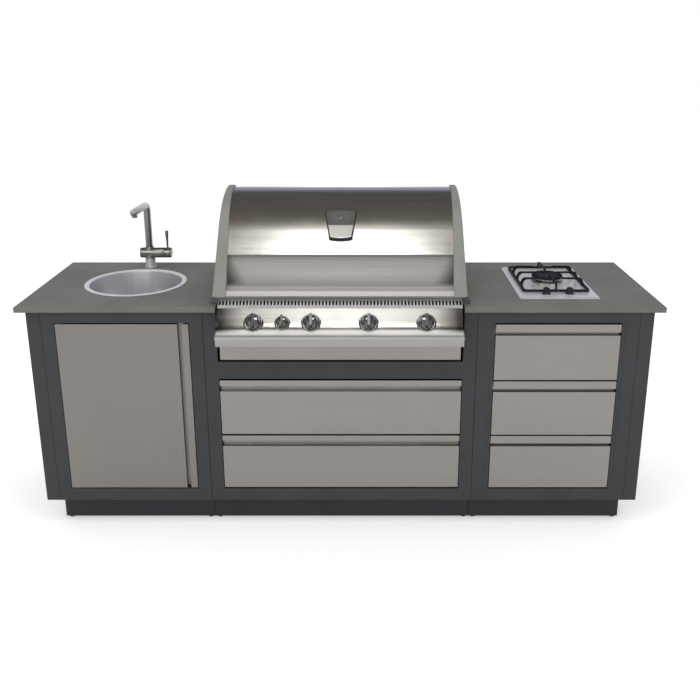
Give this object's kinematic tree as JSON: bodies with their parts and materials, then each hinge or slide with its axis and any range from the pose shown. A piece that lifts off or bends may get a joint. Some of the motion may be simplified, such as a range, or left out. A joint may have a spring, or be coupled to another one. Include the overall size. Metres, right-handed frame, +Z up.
{
  "type": "outdoor kitchen island",
  "caption": "Free-standing outdoor kitchen island with a lidded gas grill, a round sink with a mixer tap, a gas hob, a cupboard door and drawers under one worktop.",
  "frame": {"origin": "middle of the island's bounding box, on the floor", "axes": "+X to the right along the front, +Y to the back, +Z up; the door and drawers face -Y"},
  "size_m": [2.368, 0.748, 1.2648],
  "materials": {
    "worktop": "matt mineral-grey compact laminate",
    "frame_coat": "matt anthracite powder coat",
    "plinth_coat": "matt dark grey powder coat",
    "zinc_sheet": "zinc-coated sheet",
    "brushed_steel": "brushed stainless steel",
    "bright_steel": "polished stainless steel",
    "cast_metal": "satin cast aluminium",
    "black_enamel": "black enamelled iron",
    "valve_brass": "plain brass"
  },
  "bodies": {
    "cabinet": {"left_end_panel": "frame_coat", "sink_cabinet_shell": "zinc_sheet", "sink_cabinet_frame": "frame_coat", "sink_cabinet_plinth": "plinth_coat", "sink_worktop": "worktop", "sink_bowl": "bright_steel", "sink_waste": "bright_steel", "tap_body": "bright_steel", "grill_cabinet_shell": "zinc_sheet", "grill_cabinet_frame": "frame_coat", "grill_cabinet_plinth": "plinth_coat", "rear_worktop": "worktop", "control_panel": "bright_steel", "burner_manifold": "valve_brass", "firebox": "brushed_steel", "flame_tamer": "brushed_steel", "warming_rack": "bright_steel", "rear_burner": "black_enamel", "cooking_grid_left": "black_enamel", "cooking_grid_middle": "black_enamel", "cooking_grid_right": "black_enamel", "burner_tube_1": "bright_steel", "burner_tube_2": "bright_steel", "burner_tube_3": "bright_steel", "burner_tube_4": "bright_steel", "right_end_panel": "frame_coat", "drawer_cabinet_shell": "zinc_sheet", "drawer_cabinet_frame": "frame_coat", "drawer_cabinet_plinth": "plinth_coat", "hob_worktop": "worktop", "hob_tray": "bright_steel", "hob_burner": "bright_steel", "hob_burner_cap": "black_enamel", "hob_pan_support": "black_enamel"},
    "door": {"sink_door": "brushed_steel"},
    "wide_drawer_upper": {"wide_drawer_upper_front": "brushed_steel", "wide_drawer_upper_box": "zinc_sheet"},
    "wide_drawer_lower": {"wide_drawer_lower_front": "brushed_steel", "wide_drawer_lower_box": "zinc_sheet"},
    "upper_drawer": {"upper_drawer_front": "brushed_steel", "upper_drawer_box": "zinc_sheet"},
    "middle_drawer": {"middle_drawer_front": "brushed_steel", "middle_drawer_box": "zinc_sheet"},
    "lower_drawer": {"lower_drawer_front": "brushed_steel", "lower_drawer_box": "zinc_sheet"},
    "tray": {"grease_tray": "brushed_steel"},
    "lid": {"lid_skin": "brushed_steel", "lid_cap_left": "cast_metal", "lid_cap_right": "cast_metal", "lid_thermometer": "bright_steel"},
    "spout": {"tap_spout": "bright_steel"},
    "handle": {"tap_handle": "bright_steel"},
    "lever": {"tap_lever": "bright_steel"},
    "grill_knob_1_body": {"grill_knob_1": "bright_steel"},
    "grill_knob_2_body": {"grill_knob_2": "bright_steel"},
    "grill_knob_3_body": {"grill_knob_3": "bright_steel"},
    "grill_knob_4_body": {"grill_knob_4": "bright_steel"},
    "rear_burner_knob_body": {"rear_burner_knob": "bright_steel"},
    "hob_knob_left_body": {"hob_knob_left": "black_enamel"},
    "hob_knob_right_body": {"hob_knob_right": "black_enamel"}
  },
  "joints": [
    {"name": "door_hinge", "type": "hinge", "parent": "cabinet", "child": "door", "pos_m": [-1.0335, -0.259, 0.495], "axis": [0, 0, -1], "range_deg": [0, 110]},
    {"name": "wide_drawer_upper_slide", "type": "slide", "parent": "cabinet", "child": "wide_drawer_upper", "axis": [0, -1, 0], "range_m": [0, 0.45]},
    {"name": "wide_drawer_lower_slide", "type": "slide", "parent": "cabinet", "child": "wide_drawer_lower", "axis": [0, -1, 0], "range_m": [0, 0.45]},
    {"name": "upper_drawer_slide", "type": "slide", "parent": "cabinet", "child": "upper_drawer", "axis": [0, -1, 0], "range_m": [0, 0.45]},
    {"name": "middle_drawer_slide", "type": "slide", "parent": "cabinet", "child": "middle_drawer", "axis": [0, -1, 0], "range_m": [0, 0.45]},
    {"name": "lower_drawer_slide", "type": "slide", "parent": "cabinet", "child": "lower_drawer", "axis": [0, -1, 0], "range_m": [0, 0.45]},
    {"name": "grease_tray_slide", "type": "slide", "parent": "cabinet", "child": "tray", "axis": [0, -1, 0], "range_m": [0, 0.4]},
    {"name": "lid_hinge", "type": "hinge", "parent": "cabinet", "child": "lid", "pos_m": [0, 0.279, 0.965], "axis": [-1, 0, 0], "range_deg": [0, 85]},
    {"name": "grill_knob_1_turn", "type": "hinge", "parent": "cabinet", "child": "grill_knob_1_body", "pos_m": [-0.312, -0.30943, 0.8488], "axis": [0, -0.7431, 0.6691], "range_deg": [0, 180]},
    {"name": "grill_knob_2_turn", "type": "hinge", "parent": "cabinet", "child": "grill_knob_2_body", "pos_m": [-0.104, -0.30943, 0.8488], "axis": [0, -0.7431, 0.6691], "range_deg": [0, 180]},
    {"name": "grill_knob_3_turn", "type": "hinge", "parent": "cabinet", "child": "grill_knob_3_body", "pos_m": [0.104, -0.30943, 0.8488], "axis": [0, -0.7431, 0.6691], "range_deg": [0, 180]},
    {"name": "grill_knob_4_turn", "type": "hinge", "parent": "cabinet", "child": "grill_knob_4_body", "pos_m": [0.312, -0.30943, 0.8488], "axis": [0, -0.7431, 0.6691], "range_deg": [0, 180]},
    {"name": "rear_burner_knob_turn", "type": "hinge", "parent": "cabinet", "child": "rear_burner_knob_body", "pos_m": [-0.208, -0.30943, 0.8488], "axis": [0, -0.7431, 0.6691], "range_deg": [0, 180]},
    {"name": "hob_knob_left_turn", "type": "hinge", "parent": "cabinet", "child": "hob_knob_left_body", "pos_m": [0.7795, -0.131, 0.906], "axis": [0, 0, 1], "range_deg": [0, 180]},
    {"name": "hob_knob_right_turn", "type": "hinge", "parent": "cabinet", "child": "hob_knob_right_body", "pos_m": [0.8675, -0.131, 0.906], "axis": [0, 0, 1], "range_deg": [0, 180]},
    {"name": "tap_spout_swivel", "type": "hinge", "parent": "cabinet", "child": "spout", "pos_m": [-0.8235, 0.295, 1.1], "axis": [0, 0, 1], "range_deg": [-74, 106]},
    {"name": "tap_handle_turn", "type": "hinge", "parent": "cabinet", "child": "handle", "pos_m": [-0.7465, 0.295, 0.963], "axis": [1, 0, 0], "range_deg": [-45, 45]},
    {"name": "tap_lever_tilt", "type": "hinge", "parent": "handle", "child": "lever", "pos_m": [-0.7465, 0.295, 0.97375], "axis": [0, 1, 0], "range_deg": [0, 25]}
  ]
}
